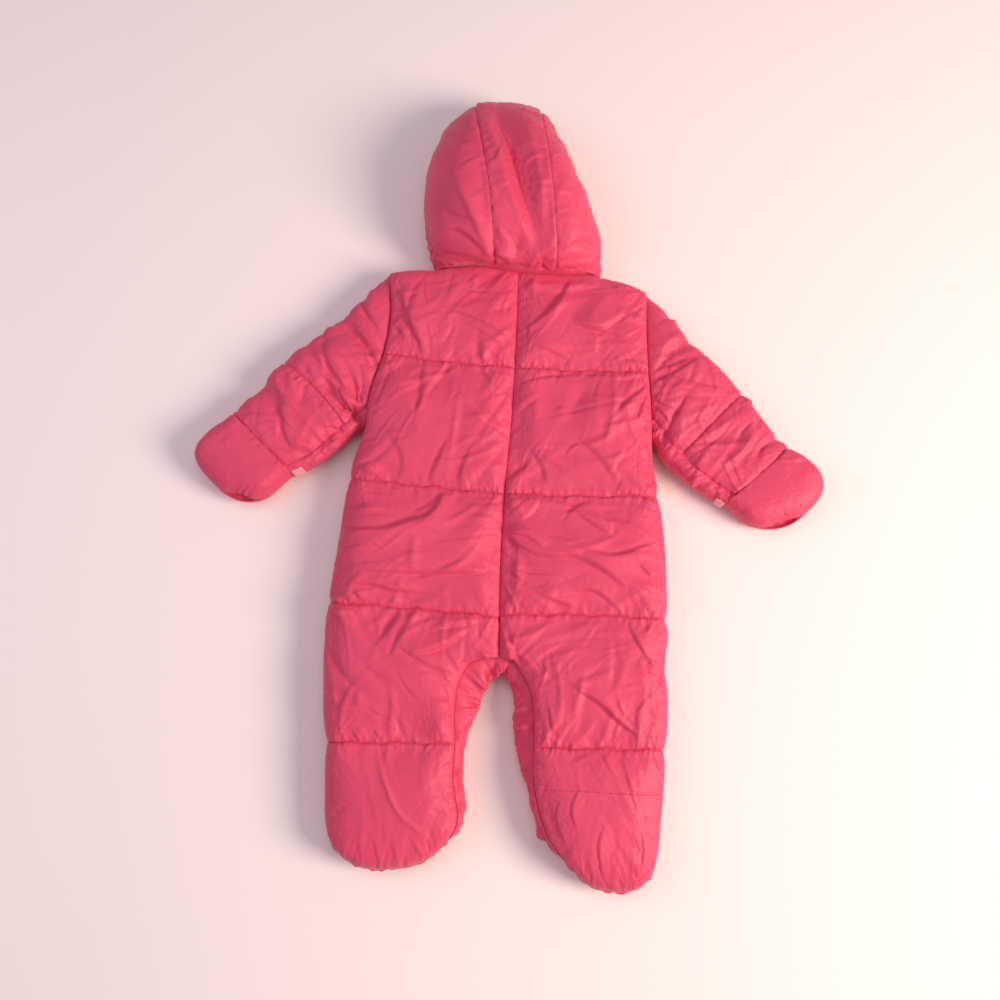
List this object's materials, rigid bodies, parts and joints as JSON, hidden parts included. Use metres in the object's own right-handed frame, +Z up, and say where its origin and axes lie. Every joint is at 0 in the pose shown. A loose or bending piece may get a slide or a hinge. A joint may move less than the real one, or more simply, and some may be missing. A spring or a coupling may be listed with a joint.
{
  "type": "baby snowsuit",
  "caption": "Quilted, padded baby snowsuit laid face down, with a joined hood, fold-over mitts, closed feet, a crotch strip and a front zip.",
  "frame": {"origin": "on the surface that the suit lies on, at the middle of the suit's box", "axes": "+Y along the suit from its feet to its hood, +X to the wearer's right, +Z up out of the suit's back"},
  "size_m": [0.6092, 0.7954, 0.0868],
  "materials": {
    "quilted_nylon": "satin",
    "satin_binding": "satin",
    "zip_tape": "matte",
    "zip_plastic": "satin",
    "zip_metal": "satin"
  },
  "bodies": {
    "garment": {"back_left": "quilted_nylon", "back_right": "quilted_nylon", "front_left": "quilted_nylon", "front_right": "quilted_nylon", "crotch_gusset": "quilted_nylon", "sleeve_left": "quilted_nylon", "sleeve_right": "quilted_nylon", "mitt_back_left": "quilted_nylon", "mitt_back_right": "quilted_nylon", "mitt_palm_left": "quilted_nylon", "mitt_palm_right": "quilted_nylon", "mitt_binding_left": "satin_binding", "mitt_binding_right": "satin_binding", "hood_left": "quilted_nylon", "hood_centre": "quilted_nylon", "hood_right": "quilted_nylon", "zip_tape_left": "zip_tape", "zip_tape_right": "zip_tape", "zip_chain": "zip_plastic", "zip_slider": "zip_metal"},
    "zip_pull": {"zip_pull": "zip_metal"}
  },
  "joints": [
    {"name": "zip_pull_swing", "type": "hinge", "parent": "garment", "child": "zip_pull", "pos_m": [0.01035, 0.17166, 0.0072], "axis": [1, 0, 0], "range_deg": [-14, 150]}
  ]
}
